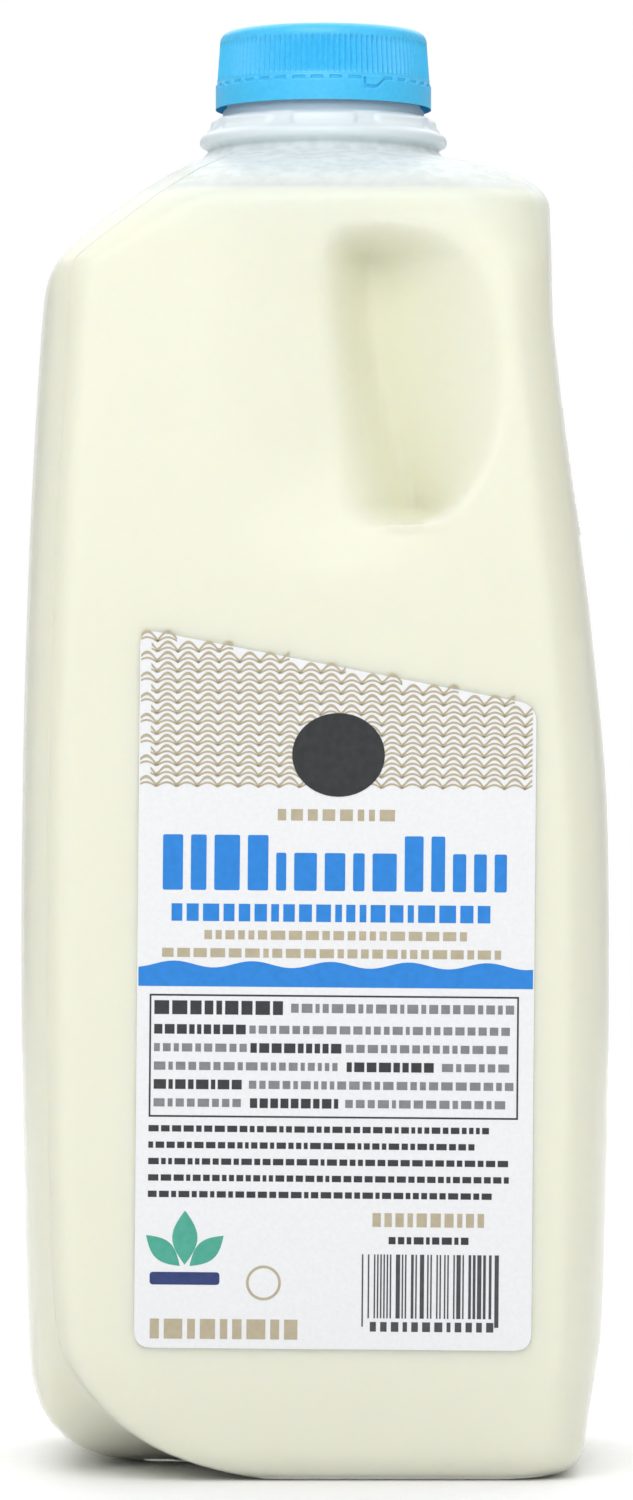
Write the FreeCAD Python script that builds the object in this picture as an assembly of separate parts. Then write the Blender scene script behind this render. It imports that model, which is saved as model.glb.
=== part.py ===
"""A two-quart plastic milk jug: a blow-moulded body full of milk, with a snap cap and a front label.

Millimetres. +Z is up, the label faces -Y, and the pinch grip is at the +X, -Y corner.
The origin is on the surface that the jug stands on, below the middle of the body.
"""
import FreeCAD, Part

import os
from math import acos, cos, degrees, pi, radians, sin, sqrt

Vector = FreeCAD.Vector

# Body: a rounded box whose left and back sides bow, and whose right and front sides lean in at the top.
body_width = 102.2
body_depth = 99.8
body_height = 224.7
shoulder_drop = 20.9
bow_z = 89.7
bow_share = 0.075
right_lean_drop = 107.7
front_lean_drop = 76.5
lean_slope = 0.108
edge_radius = 9.5
soft_base_radius = 18.5
firm_base_radius = 5.5
base_taper = 3.2
base_taper_height = 21.0
grip_top_drop = 12.2
grip_round = 2.4
wall = 1.1
foot_height = 2.9
foot_width = 8.8
base_steps = 7
side_steps = 9
shoulder_steps = 7
least_radius = 0.5

shoulder_z = body_height - shoulder_drop
right_lean_z = body_height - right_lean_drop
front_lean_z = body_height - front_lean_drop
grip_top_z = body_height - grip_top_drop

# Neck, on its own axis, a little nearer the grip than the middle of the body.
neck_x = 1.4
finish_radius = 16.8
finish_height = 11.9
finish_wall = 1.0
thread_height = 0.45
thread_heights = (3.5, 7.0)
neck_step = 1.9
neck_height = 8.7
neck_flare = 2.3
neck_groove = 1.0
ring_overhang = 0.4
ring_rise = 3.5
ring_height = 2.5
lug_count = 8
lug_width = 11.4
lug_height = 3.0
lug_relief = 0.5

neck_bore_radius = finish_radius - finish_wall
neck_radius = finish_radius + neck_step
neck_base_radius = neck_radius + neck_flare
neck_groove_radius = neck_base_radius - neck_groove
ring_radius = neck_base_radius + ring_overhang
ring_z = body_height + ring_rise
finish_step_z = body_height + neck_height
finish_top_z = finish_step_z + finish_height

# Cap, one moulding with its tamper band.
cap_top_wall = 1.4
cap_wall = 0.95
cap_fit = 0.3
cap_draft = 0.7
cap_edge_round = 1.3
cap_hang = 0.1
band_height = 4.2
band_relief = 0.2
slit_height = 0.35
slit_depth = 0.45
rib_count = 114
rib_depth = 0.32
rib_bottom_gap = 0.9
rib_top_gap = 1.4

cap_bore_radius = finish_radius + thread_height + cap_fit
cap_radius = cap_bore_radius + cap_wall
cap_top_radius = cap_radius - cap_draft
cap_bottom_z = finish_step_z - cap_hang

# Grip hollows: one in the front, one in the right side, mirror images about the grip's own corner.
grip_drop = 38.5
grip_half_height = 25.3
grip_width = 25.0
grip_column = 23.2
grip_depth = 9.3
grip_floor_width = 7.4
grip_floor_offset = 10.3
grip_floor_half_height = 19.5
grip_floor_slant = -0.2

grip_z = body_height - grip_drop
grip_right = body_width / 2 - grip_column
grip_left = grip_right - grip_width
grip_floor_right = grip_right - grip_floor_offset
grip_floor_left = grip_floor_right - grip_floor_width

# Seam notches: a round valley under the two bottom corners where the mould halves meet.
notch_radius = 12.7
notch_inset = 6.2
notch_run = 18.6
notch_rise = 39.0

notch_outer = body_width / 2 - notch_inset
notch_inner = notch_outer - notch_run

# Milk and label.
milk_drop = 8.3
label_left = -31.2
label_right = 36.1
label_bottom_z = 22.4
label_left_height = 119.5
label_right_height = 107.3
label_corner = 2.9
label_thickness = 0.25
label_turn = -0.5

milk_z = body_height - milk_drop


def bow(z):
    """The share of the full half width that a bowed side has at height z."""
    return 1.0 - bow_share * ((z - bow_z) / (shoulder_z - bow_z)) ** 2


def base_inset(z, radius):
    """How far a side is drawn in by its rounded bottom edge at height z."""
    if z >= radius:
        return 0.0
    return radius - sqrt(radius ** 2 - (radius - z) ** 2)


def taper_inset(z):
    """How far a firm side is drawn in by its taper towards the foot at height z."""
    return base_taper * max(0.0, base_taper_height - z) / base_taper_height


def sloped_side(z, full, neck_side):
    """A bowed side: up to the shoulder, then a straight slope to the neck."""
    if z <= shoulder_z:
        return full * bow(z) - base_inset(z, soft_base_radius)
    rise = (z - shoulder_z) / (body_height - shoulder_z)
    return full * bow(shoulder_z) + (neck_side - full * bow(shoulder_z)) * rise


def grip_side(z, full, neck_side, lean_z):
    """A side of the grip's corner: leans in above lean_z, then rounds over to the neck."""
    upright = full * bow(min(z, lean_z)) - base_inset(z, firm_base_radius) - taper_inset(z)
    leaned = upright - lean_slope * max(0.0, min(z, grip_top_z) - lean_z)
    if z <= grip_top_z:
        return leaned
    rise = (z - grip_top_z) / (body_height - grip_top_z)
    return neck_side + (leaned - neck_side) * (1.0 - rise ** grip_round)


def front(z):
    """The front's distance from the middle at height z: flat under the label, leaning in above."""
    flat = body_depth / 2 - base_inset(z, firm_base_radius) - taper_inset(z)
    leaned = flat - lean_slope * max(0.0, min(z, grip_top_z) - front_lean_z)
    if z <= grip_top_z:
        return leaned
    rise = (z - grip_top_z) / (body_height - grip_top_z)
    return neck_base_radius + (leaned - neck_base_radius) * (1.0 - rise ** grip_round)


def corner_radius(z):
    """The radius of the upright edges: it grows over the shoulder until the section is the neck's."""
    if z <= shoulder_z:
        return edge_radius
    rise = (z - shoulder_z) / (body_height - shoulder_z)
    return edge_radius + (neck_base_radius - 0.6 - edge_radius) * rise ** 1.5


def section(z, grow=0.0, lift=0.0):
    """A closed wire: the body's rounded-box section at height z, grown outward and lifted."""
    left = -sloped_side(z, body_width / 2, neck_base_radius - neck_x) - grow
    right = grip_side(z, body_width / 2, neck_base_radius + neck_x, right_lean_z) + grow
    near = -front(z) - grow
    far = sloped_side(z, body_depth / 2, neck_base_radius) + grow
    radius = max(corner_radius(z) + grow, least_radius)
    level = z + lift
    corners = [
        (right - radius, far - radius, 0),
        (left + radius, far - radius, 90),
        (left + radius, near + radius, 180),
        (right - radius, near + radius, 270),
    ]
    edges = []
    for index, (x, y, start) in enumerate(corners):
        points = []
        for turn in (0, 45, 90):
            angle = radians(start + turn)
            points.append(Vector(x + radius * cos(angle), y + radius * sin(angle), level))
        if edges:
            edges.append(Part.LineSegment(last, points[0]).toShape())
        else:
            first = points[0]
        edges.append(Part.Arc(*points).toShape())
        last = points[2]
    edges.append(Part.LineSegment(last, first).toShape())
    return Part.Wire(edges)


def stage_heights(bottom):
    """The section heights of the body's three stages: rounded base, sides and shoulder."""
    base_top = max(soft_base_radius, base_taper_height)
    lowest = degrees(acos(1.0 - bottom / base_top))
    turns = [lowest + (90.0 - lowest) * step / base_steps for step in range(base_steps + 1)]
    base = [base_top * (1.0 - cos(radians(turn))) for turn in turns]
    tall = shoulder_z - base_top
    side = [base_top + tall * step / side_steps for step in range(side_steps + 1)]
    rise = body_height - shoulder_z
    shoulder = [shoulder_z + rise * step / shoulder_steps for step in range(shoulder_steps + 1)]
    return [base, side, shoulder]


def box_body(grow=0.0, bottom=0.0):
    """The plain body from the base to the neck, grown outward: one smooth loft for each stage."""
    stages = []
    for heights in stage_heights(bottom):
        wires = []
        for z in heights:
            steep = max(0.0, (z - shoulder_z) / (body_height - shoulder_z))
            wires.append(section(z, grow, grow * steep))
        stages.append(Part.makeLoft(wires, True, False))
    return stages[0].multiFuse(stages[1:])


def grip_hollow(grow=0.0):
    """The cutter for the front grip hollow: a soft edge on the body's side, a slope up to the grip."""
    stations = [-4.0, 0.0, 1.2, 3.0, 5.2, 7.4, grip_depth]
    wires = []
    for depth in stations:
        share = max(0.0, depth) / grip_depth
        left = grip_left + (grip_floor_left - grip_left) * sqrt(share) - grow
        right = grip_right + (grip_floor_right - grip_right) * share ** 0.85 + grow
        half = grip_half_height + (grip_floor_half_height - grip_half_height) * share ** 1.6 + grow
        slant = grip_floor_slant * share
        points = []
        for step in range(24):
            angle = 2 * pi * step / 24
            across = (abs(cos(angle)) ** 0.85) * (1 if cos(angle) > 0 else -1)
            along = (abs(sin(angle)) ** 0.85) * (1 if sin(angle) > 0 else -1)
            rise = half * along
            x = (left + right) / 2 + (right - left) / 2 * across + slant * rise
            z = grip_z + rise
            face = body_depth / 2 - lean_slope * (z - front_lean_z)
            points.append(Vector(x, depth + (grow if depth > 0 else 0) - face, z))
        curve = Part.BSplineCurve()
        curve.interpolate(points, PeriodicFlag=True)
        wires.append(Part.Wire([curve.toShape()]))
    return Part.makeLoft(wires, True, False)


def mirrored(shape):
    """The mirror image about the upright plane through the grip's corner and the body's middle."""
    copy = shape.mirror(Vector(0, 0, 0), Vector(1, 1, 0))
    scale = FreeCAD.Matrix()
    scale.scale(body_width / body_depth, body_depth / body_width, 1.0)
    return copy.transformGeometry(scale)


def seam_notch(grow=0.0):
    """The cutter for the valley under the front-left bottom corner: a steep round groove."""
    low = Vector(-notch_inner, -notch_inner, 0)
    high = Vector(-notch_outer, -notch_outer, notch_rise)
    along = (high - low).normalize()
    sideways = Vector(1, -1, 0).normalize()
    outward = along.cross(sideways).normalize()
    if outward.z > 0:
        outward = outward * -1
    start = low - along * 3 * notch_radius + outward * notch_radius
    return Part.makeCylinder(notch_radius + grow, 3 * notch_rise, start, along)


def neck_outline():
    """The neck's half section: out over the ring, up the finish and back down the bore."""
    low = body_height - wall / 2
    half = ring_height / 2
    return [
        (neck_bore_radius, low),
        (neck_groove_radius, low),
        (neck_groove_radius, ring_z - half),
        (ring_radius - 0.4, ring_z - half),
        (ring_radius, ring_z - half + 0.5),
        (ring_radius, ring_z + half - 0.8),
        (ring_radius - 1.0, ring_z + half),
        (neck_radius, ring_z + half + 0.2),
        (neck_radius, finish_step_z - 0.3),
        (finish_radius, finish_step_z - 0.3),
        (finish_radius, finish_top_z - 0.6),
        (finish_radius - 0.5, finish_top_z),
        (neck_bore_radius, finish_top_z),
    ]


def revolved(outline):
    """A closed (radius, height) outline turned about the neck's axis."""
    points = [Vector(neck_x + radius, 0, z) for radius, z in outline]
    face = Part.Face(Part.makePolygon(points + points[:1]))
    return face.revolve(Vector(neck_x, 0, 0), Vector(0, 0, 1), 360)


def neck_lug(index):
    """One flat raised oval of the row between the ring and the cap."""
    z = (ring_z + ring_height / 2 + 0.3 + finish_step_z - 0.3) / 2
    half = lug_width / 2 - lug_height / 2
    reach = neck_radius + 4
    bar = Part.makeBox(2 * half, reach, lug_height, Vector(-half, -reach, z - lug_height / 2))
    ends = []
    for side in (-half, half):
        ends.append(Part.makeCylinder(lug_height / 2, reach, Vector(side, -reach, z), Vector(0, 1, 0)))
    band = Part.makeCylinder(neck_radius + lug_relief, lug_height + 2, Vector(0, 0, z - lug_height / 2 - 1))
    inner = Part.makeCylinder(neck_radius - 0.5, lug_height + 2, Vector(0, 0, z - lug_height / 2 - 1))
    lug = bar.multiFuse(ends).common(band.cut(inner))
    lug.rotate(Vector(0, 0, 0), Vector(0, 0, 1), 360.0 / lug_count * index)
    lug.translate(Vector(neck_x, 0, 0))
    return lug


def thread(z):
    """One raised ring of the neck's finish, which the cap snaps over."""
    half = thread_height
    return revolved([
        (finish_radius - 0.3, z - half),
        (finish_radius, z - half),
        (finish_radius + thread_height, z),
        (finish_radius, z + half),
        (finish_radius - 0.3, z + half),
    ])


def outer_form(grow=0.0, bottom=0.0):
    """The body with its grip hollows and seam notches, grown outward by grow."""
    form = box_body(grow, bottom)
    hollow = grip_hollow(-grow)
    notch = seam_notch(-grow)
    far_notch = notch.copy()
    far_notch.rotate(Vector(0, 0, 0), Vector(0, 0, 1), 180)
    for cutter in (hollow, mirrored(hollow), notch, far_notch):
        form = form.cut(cutter)
    return form


def foot_recess():
    """The cutter that leaves a foot all round the base."""
    return Part.Face(section(0.0, -foot_width)).extrude(Vector(0, 0, foot_height))


def make_inside():
    """The space inside the body, from above the foot to the bottom of the neck."""
    return outer_form(-wall, foot_height + wall)


def make_finish():
    """The neck above the body: the ring, the row of lugs and the two rings under the cap."""
    lugs = [neck_lug(index) for index in range(lug_count)]
    rings = [thread(finish_step_z + height) for height in thread_heights]
    return revolved(neck_outline()).multiFuse(lugs + rings)


def make_jug(inside):
    """The blow-moulded shell with its neck."""
    shell = outer_form().cut(foot_recess()).cut(inside)
    throat = Vector(neck_x, 0, body_height - 2 * wall)
    bore = Part.makeCylinder(neck_bore_radius, finish_top_z, throat)
    return shell.cut(bore).fuse(make_finish())


def make_milk(inside):
    """The milk: the inside up to its level."""
    size = 2 * max(body_width, body_depth)
    below = Part.makeBox(size, size, milk_z, Vector(-size / 2, -size / 2, 0))
    return inside.common(below)


def ribbed_ring(radius_low, bottom, top):
    """The cap's ribs: a prism over a fine star-shaped outline."""
    points = []
    for index in range(2 * rib_count):
        angle = pi * index / rib_count
        radius = radius_low if index % 2 else radius_low - rib_depth
        points.append(Vector(neck_x + radius * cos(angle), radius * sin(angle), bottom))
    face = Part.Face(Part.makePolygon(points + points[:1]))
    return face.extrude(Vector(0, 0, top - bottom))


def make_cap():
    """The snap cap: a ribbed skirt, a rounded top, and a tamper band below a scored line."""
    top = finish_top_z + cap_top_wall
    band_top = cap_bottom_z + band_height
    rib_bottom = band_top + rib_bottom_gap
    rib_top = top - rib_top_gap
    core = cap_radius - rib_depth
    band = cap_radius + band_relief
    body = revolved([
        (0, finish_top_z),
        (cap_bore_radius, finish_top_z),
        (cap_bore_radius, cap_bottom_z),
        (band - 0.3, cap_bottom_z),
        (band, cap_bottom_z + 0.4),
        (band, band_top - slit_height),
        (band - slit_depth, band_top - slit_height),
        (band - slit_depth, band_top),
        (cap_radius, band_top),
        (cap_radius, rib_bottom),
        (core, rib_bottom),
        (cap_top_radius, rib_top),
        (cap_top_radius, top - cap_edge_round),
        (cap_top_radius - 0.3 * cap_edge_round, top - 0.4 * cap_edge_round),
        (cap_top_radius - cap_edge_round, top),
        (0, top),
    ])
    outer = ribbed_ring(cap_radius, rib_bottom, rib_top)
    hollow = Part.makeCylinder(cap_bore_radius, top, Vector(neck_x, 0, 0))
    draft = Part.makeCone(cap_radius, cap_top_radius + 0.2, rib_top - rib_bottom, Vector(neck_x, 0, rib_bottom))
    ribs = outer.common(draft).cut(hollow)
    return body.fuse(ribs).removeSplitter()


def label_prism():
    """The label's outline, with its slanted top and rounded corners, standing out through the front."""
    corners = [
        Vector(label_left, 0, label_bottom_z),
        Vector(label_right, 0, label_bottom_z),
        Vector(label_right, 0, label_bottom_z + label_right_height),
        Vector(label_left, 0, label_bottom_z + label_left_height),
    ]
    face = Part.Face(Part.makePolygon(corners + corners[:1]))
    prism = face.extrude(Vector(0, -body_depth, 0))
    cross = [edge for edge in prism.Edges if abs(edge.Vertexes[0].Y - edge.Vertexes[-1].Y) > 1]
    prism = prism.makeFillet(label_corner, cross)
    middle = Vector((label_left + label_right) / 2, 0, label_bottom_z + label_left_height / 2)
    prism.rotate(middle, Vector(0, 1, 0), -label_turn)
    return prism


def make_label():
    """The label: a thin sheet that lies on the front."""
    skin = Part.makeBox(body_width, label_thickness, shoulder_z,
                        Vector(-body_width / 2, -body_depth / 2 - label_thickness, 0))
    return skin.common(label_prism())


def main():
    inside = make_inside()
    parts = {
        "jug": make_jug(inside),
        "milk": make_milk(inside),
        "cap": make_cap(),
        "label": make_label(),
    }
    os.makedirs("parts", exist_ok=True)
    for name, shape in parts.items():
        box = shape.BoundBox
        print(name, "solids", len(shape.Solids), "valid", shape.isValid(), "volume", round(shape.Volume),
              "box", [round(v, 2) for v in (box.XMin, box.YMin, box.ZMin, box.XMax, box.YMax, box.ZMax)])
        shape.exportStep("parts/" + name + ".step")


main()
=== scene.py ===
# %% [markdown]
# # A two-quart milk jug
# The jug is one blow-moulded bottle of natural, uncoloured polyethylene. It is full of milk, it is
# shut with a blue snap cap, and a paper label is stuck to its front. The construction model gives
# every size. This lesson builds the looks round it: a soft thin-walled bottle, milk that
# touches the wall, a finely ribbed cap and a printed label.

# %% Load the construction model
import math
import random

import bmesh
import bpy
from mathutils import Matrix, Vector


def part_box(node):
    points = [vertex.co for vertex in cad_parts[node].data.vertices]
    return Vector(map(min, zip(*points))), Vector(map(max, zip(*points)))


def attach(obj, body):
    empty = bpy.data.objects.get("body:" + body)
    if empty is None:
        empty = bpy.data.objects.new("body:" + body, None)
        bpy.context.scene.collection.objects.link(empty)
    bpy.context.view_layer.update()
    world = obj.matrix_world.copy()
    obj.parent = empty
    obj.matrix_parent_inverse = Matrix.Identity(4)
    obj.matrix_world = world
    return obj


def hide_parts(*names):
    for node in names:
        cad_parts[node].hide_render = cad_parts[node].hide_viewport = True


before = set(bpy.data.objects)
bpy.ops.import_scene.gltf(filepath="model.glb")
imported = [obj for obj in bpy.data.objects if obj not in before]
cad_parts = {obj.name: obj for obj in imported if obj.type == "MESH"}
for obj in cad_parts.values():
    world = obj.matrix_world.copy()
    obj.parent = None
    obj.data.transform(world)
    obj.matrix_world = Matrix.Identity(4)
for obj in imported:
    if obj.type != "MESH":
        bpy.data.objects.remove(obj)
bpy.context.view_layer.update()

MM = 0.001

# %% [markdown]
# The main sizes of the jug come from its nodes. The body is a rounded box whose left and back
# sides bow outward a little, and whose right and front sides lean in at the top, round the grip.

# %% Sizes read from the nodes
jug_low, jug_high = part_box("jug")
cap_low, cap_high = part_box("cap")
WIDTH_TRIM = 0.8 * MM
WIDTH = jug_high[0] - jug_low[0] - WIDTH_TRIM
DEPTH = 99.8 * MM
NECK_X = (cap_low[0] + cap_high[0]) / 2
MILK_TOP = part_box("milk")[1][2]
BAND_DROP = 0.45 * MM
CAP_BOTTOM = cap_low[2] - BAND_DROP
CAP_TOP = cap_high[2]
FINISH_TOP = jug_high[2]
CAP_RADIUS = (cap_high[0] - cap_low[0]) / 2
print("body", round(WIDTH, 4), "cap radius", round(CAP_RADIUS, 4), "milk top", round(MILK_TOP, 4))

# %% [markdown]
# Blow moulding gives a bottle without one sharp edge, so each height of the body is described by
# four distances, left, right, near and far, and one corner radius. The distances follow the
# same rules as the construction model, with every change of slope rounded off.

# %% Heights and radii of the body
SHOULDER = 203.8 * MM
NECK_BASE = 224.7 * MM
BOW_Z = 89.7 * MM
BOW_SHARE = 0.075
LEAN_SLOPE = 0.108
RIGHT_LEAN_Z = 117.0 * MM
FRONT_LEAN_Z = 148.2 * MM
GRIP_TOP = 212.5 * MM
NECK_RADIUS = 21.0 * MM
EDGE_RADIUS = 9.5 * MM
SHOULDER_ROUND = 2.4 * MM
LEAN_ROUND = 8 * MM
SOFT_BASE = 18.5 * MM
FIRM_BASE = 5.5 * MM
WALL = 0.9 * MM
WELD = 0.002 * MM


def soft_ramp(value, softness):
    """Zero below zero and value above it, with the corner rounded over about softness."""
    return (value + math.sqrt(value * value + softness * softness)) / 2


def smooth_step(value, low, high):
    """Rises from 0 to 1 between low and high, level at both ends."""
    share = min(1.0, max(0.0, (value - low) / (high - low)))
    return share * share * (3 - 2 * share)


def bow(z):
    """The share of the full half width that a bowed side has at height z."""
    return 1 - BOW_SHARE * ((z - BOW_Z) / (SHOULDER - BOW_Z)) ** 2


def base_inset(z, radius):
    """How far the rounded bottom edge draws a side in at height z."""
    low = max(0.0, radius - z)
    return radius - math.sqrt(max(0.0, radius * radius - low * low))


def sloped_side(z, full, neck_side):
    """A bowed side, then a straight slope over the shoulder to the neck."""
    upright = full * bow(min(z, SHOULDER)) - base_inset(z, SOFT_BASE)
    slope = (full * bow(SHOULDER) - neck_side) / (NECK_BASE - SHOULDER)
    return upright - slope * (soft_ramp(z - SHOULDER, SHOULDER_ROUND))


def grip_side(z, full, neck_side, lean_z):
    """A side of the grip's corner: upright, leaning in above lean_z, then rounded over."""
    upright = full * bow(min(z, RIGHT_LEAN_Z)) if lean_z == RIGHT_LEAN_Z else full
    leaned = upright - base_inset(z, FIRM_BASE)
    leaned -= LEAN_SLOPE * soft_ramp(min(z, GRIP_TOP) - lean_z, LEAN_ROUND)
    rise = max(0.0, (z - GRIP_TOP) / (NECK_BASE - GRIP_TOP))
    return neck_side + (leaned - neck_side) * (1 - min(1.0, rise) ** 2.4)


def sides(z):
    """Left, right, near and far distances and the corner radius at height z."""
    left = -sloped_side(z, WIDTH / 2, NECK_RADIUS - NECK_X)
    right = grip_side(z, WIDTH / 2, NECK_RADIUS + NECK_X, RIGHT_LEAN_Z)
    near = -grip_side(z, DEPTH / 2, NECK_RADIUS, FRONT_LEAN_Z)
    far = sloped_side(z, DEPTH / 2, NECK_RADIUS)
    rise = max(0.0, (z - SHOULDER) / (NECK_BASE - SHOULDER))
    radius = EDGE_RADIUS + (NECK_RADIUS - 0.3 * MM - EDGE_RADIUS) * min(1.0, rise) ** 0.9
    room = min(right - left, far - near) / 2 - 0.1 * MM
    return left, right, near, far, min(radius, room)


print("half height section", [round(v / MM, 1) for v in sides(110 * MM)])

# %% [markdown]
# The lowest part of the near and right sides tapers in towards the foot, and the left and far
# sides round under in one soft curve. A full jug also swells: the middle of each side panel
# stands a few millimetres out from its upright edges, which shows as a soft strip down each side.

# %% Taper and swelling
TAPER = 3.2 * MM
TAPER_Z = 21 * MM
SWELL = 4.2 * MM


def taper_inset(z):
    """The firm sides' extra inset near the foot."""
    return TAPER * soft_ramp(TAPER_Z - z, 3 * MM) / TAPER_Z


def swell(z):
    """How far the middle of a side panel stands out from its edges at height z."""
    return SWELL * smooth_step(z, -12 * MM, 25 * MM) * (1 - smooth_step(z, 190 * MM, 224 * MM))


def outline(z, grow, turn):
    """A point of the section at height z: turn goes once round, from the middle of the right side."""
    left, right, near, far, radius = sides(z)
    firm = taper_inset(z)
    left, right, near, far = left - grow, right + grow - firm, near - grow + firm, far + grow
    across, deep, arc = right - left - 2 * radius, far - near - 2 * radius, radius * math.pi / 2
    swollen = swell(z)
    walk = turn * (2 * across + 2 * deep + 4 * arc)
    runs = [
        (deep / 2, (right, (near + far) / 2), (0, 1)),
        (arc, (right - radius, far - radius), 0),
        (across, (right - radius, far), (-1, 0)),
        (arc, (left + radius, far - radius), 90),
        (deep, (left, far - radius), (0, -1)),
        (arc, (left + radius, near + radius), 180),
        (across, (left + radius, near), (1, 0)),
        (arc, (right - radius, near + radius), 270),
        (deep / 2, (right, near + radius), (0, 1)),
    ]
    for length, start, way in runs:
        if walk <= length + 1e-9:
            break
        walk -= length
    if isinstance(way, tuple):
        x, y = start[0] + way[0] * walk, start[1] + way[1] * walk
    else:
        angle = math.radians(way) + walk / radius
        x, y = start[0] + radius * math.cos(angle), start[1] + radius * math.sin(angle)
    middle_y, half_y = (near + far) / 2, (far - near) / 2
    middle_x, half_x = (left + right) / 2, (right - left) / 2
    side_share = smooth_step(abs(x - middle_x), half_x - 1.2 * radius, half_x)
    back_share = smooth_step(y - middle_y, half_y - 1.2 * radius, half_y)
    x -= math.copysign(swollen, x) * side_share * min(1.0, ((y - middle_y) / half_y) ** 2)
    y -= swollen * back_share * min(1.0, ((x - middle_x) / half_x) ** 2)
    return x, y


# %% [markdown]
# ## The pinch grip
# Two hollows pinch the corner of the jug into a grip, one in the front for the finger tips and
# its mirror image in the right side for the thumb. Each is a slanted valley: soft on the body's
# side, a straight facet up to the grip, a soft roof and a crisp lower rim. A field of
# depths describes it, and every vertex sinks by the depth where it lies.

# %% Depth of the grip hollow
GRIP_Z = 185.0 * MM
GRIP_HALF = 25.9 * MM
GRIP_DEPTH = 12.0 * MM
GRIP_MIDDLE = 14.0 * MM
GRIP_REACH = 17.3 * MM
DISH_DEPTH = 3.6 * MM


def valley_x(z):
    """Where the bottom of the valley runs at height z."""
    return (9.2 + 7.7 * max(0.0, (195 * MM - z) / (31 * MM)) ** 1.5) * MM


def hollow_depth(x, z):
    """How far the hollow sinks the front at x and height z."""
    dish = DISH_DEPTH * smooth_step(x, -20 * MM, 8 * MM) * smooth_step(z, 148 * MM, 174 * MM)
    dish *= 1 - smooth_step(z, 198 * MM, 216 * MM)
    share = (z - GRIP_Z) / GRIP_HALF
    if abs(share) >= 1:
        return dish * (1 - smooth_step(x, 4 * MM, 26 * MM))
    roundness = (1 - abs(share) ** 2.1) ** (1 / 2.1)
    right = GRIP_MIDDLE + GRIP_REACH * roundness
    bottom = min(valley_x(z), right - 2 * MM)
    dish *= 1 - smooth_step(x, bottom - 6 * MM, right) if x > bottom - 6 * MM else 1
    left = min(0.6 * MM + 0.11 * max(0.0, 199 * MM - z), bottom - 2 * MM)
    ends = smooth_step(1 - share, 0.0, 0.26) if share > 0 else smooth_step(1 + share, 0.0, 0.15)
    deep = (GRIP_DEPTH - dish) * ends
    if x < bottom:
        return dish + deep * smooth_step(x, left, bottom + 0.8 * MM)
    climb = (x - bottom) / (right - bottom)
    return dish + deep * max(0.0, 1 - soft_ramp(climb - 0.05, 0.12) / 0.956)


def sink_hollows(point):
    """The point moved in by the hollow of the front or of the right side."""
    x, y, z = point
    near, right = sides(z)[2], sides(z)[1]
    facing = smooth_step(-y, -near - 7 * MM, -near - 3 * MM)
    mirrored = smooth_step(x, right - 7 * MM, right - 3 * MM)
    if facing > mirrored:
        return Vector((x, y + hollow_depth(x, z) * facing, z))
    return Vector((x - hollow_depth(-y * WIDTH / DEPTH, z) * mirrored, y, z))


# %% [markdown]
# ## The seam valleys
# Where the two halves of the mould meet, the bottle's bottom corners are pulled in to a round
# valley, so that the trimmed seam never touches the table. At each height the valley's inner
# line lies at one distance from the middle, and whatever lies beyond it on both sides is moved in.

# %% Valley under the seam corners
VALLEY_ROUND = 3.5 * MM
VALLEY_LIP = 2.4 * MM
VALLEY_OUT = 30 * MM
VALLEY_SLOPE = 0.62
FOOT_CUT = 19.5 * MM
FOOT_CUT_HIGH = 4.5 * MM


def valley_line(z):
    """Distance of the valley's inner line from the middle at height z."""
    return VALLEY_OUT + VALLEY_SLOPE * z - FOOT_CUT * math.exp(-z / FOOT_CUT_HIGH)


def push_from_valley(point, grow):
    """The point, moved in along the diagonal to the valley's wall, at either seam corner."""
    flip = -1 if point.x + point.y > 0 else 1
    line = valley_line(point.z) + grow
    beyond_x, beyond_y = -point.x * flip - line, -point.y * flip - line
    if min(beyond_x, beyond_y) < -3 * VALLEY_LIP:
        return point
    spread = math.hypot(beyond_x - beyond_y, VALLEY_ROUND)
    inside = (beyond_x + beyond_y - spread + VALLEY_ROUND * 0.4) / 2
    moved = soft_ramp(inside, VALLEY_LIP) * flip
    return Vector((point.x + moved, point.y + moved, point.z))


# %% [markdown]
# ## The neck
# Above the shoulder the same skin turns into the neck: a small flare, a groove, a rounded ring
# that the filling machine holds, and the plain wall with a row of flat oval lugs that stop
# the tamper band from turning. A list of radius and height pairs draws it, and the lugs
# are lifted out of the wall.

# %% Neck profile
NECK_PROFILE = [
    (21.0, 224.7), (20.8, 225.0), (20.4, 225.4), (20.1, 225.8), (20.0, 226.1), (20.2, 226.4),
    (20.7, 226.65), (21.15, 226.9), (21.4, 227.3), (21.4, 227.8), (21.3, 228.2), (21.0, 228.6),
    (20.5, 228.9), (20.0, 229.15), (19.6, 229.4), (19.35, 229.65), (19.2, 229.9), (19.1, 230.15),
    (19.0, 230.4), (18.95, 230.65), (18.9, 230.9), (18.85, 231.15), (18.75, 231.4), (18.5, 231.65),
    (17.8, 231.8), (17.5, 232.1), (17.4, 233.0), (16.8, 233.6), (16.8, 236.4), (17.2, 236.9), (16.8,
                                                                                               237.4),
    (16.8, 240.0), (17.2, 240.4), (16.8, 240.9), (16.8, 244.6), (16.4, 245.2), (16.0, 245.3),
]
LUGS = 8
LUG_HALF = 5.7 * MM
LUG_HIGH = 1.15 * MM
LUG_Z = 230.2 * MM
LUG_RELIEF = 0.6 * MM


def lug_lift(angle, radius, z):
    """The relief of the row of flat oval lugs at this angle and height."""
    step = 2 * math.pi / LUGS
    local = (angle + math.pi / 2 + step / 2) % step - step / 2
    along = max(0.0, abs(local * radius) - (LUG_HALF - LUG_HIGH))
    distance = math.hypot(along, z - LUG_Z)
    return LUG_RELIEF * (1 - smooth_step(distance, LUG_HIGH - 0.4 * MM, LUG_HIGH + 0.15 * MM))


# %% [markdown]
# The skin starts as one flat grid. Its columns go round the jug and its rows climb from the foot
# to the lip, closer together wherever the surface turns quickly. Rolling the grid up and
# welding its two ends gives one closed tube.

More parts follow.
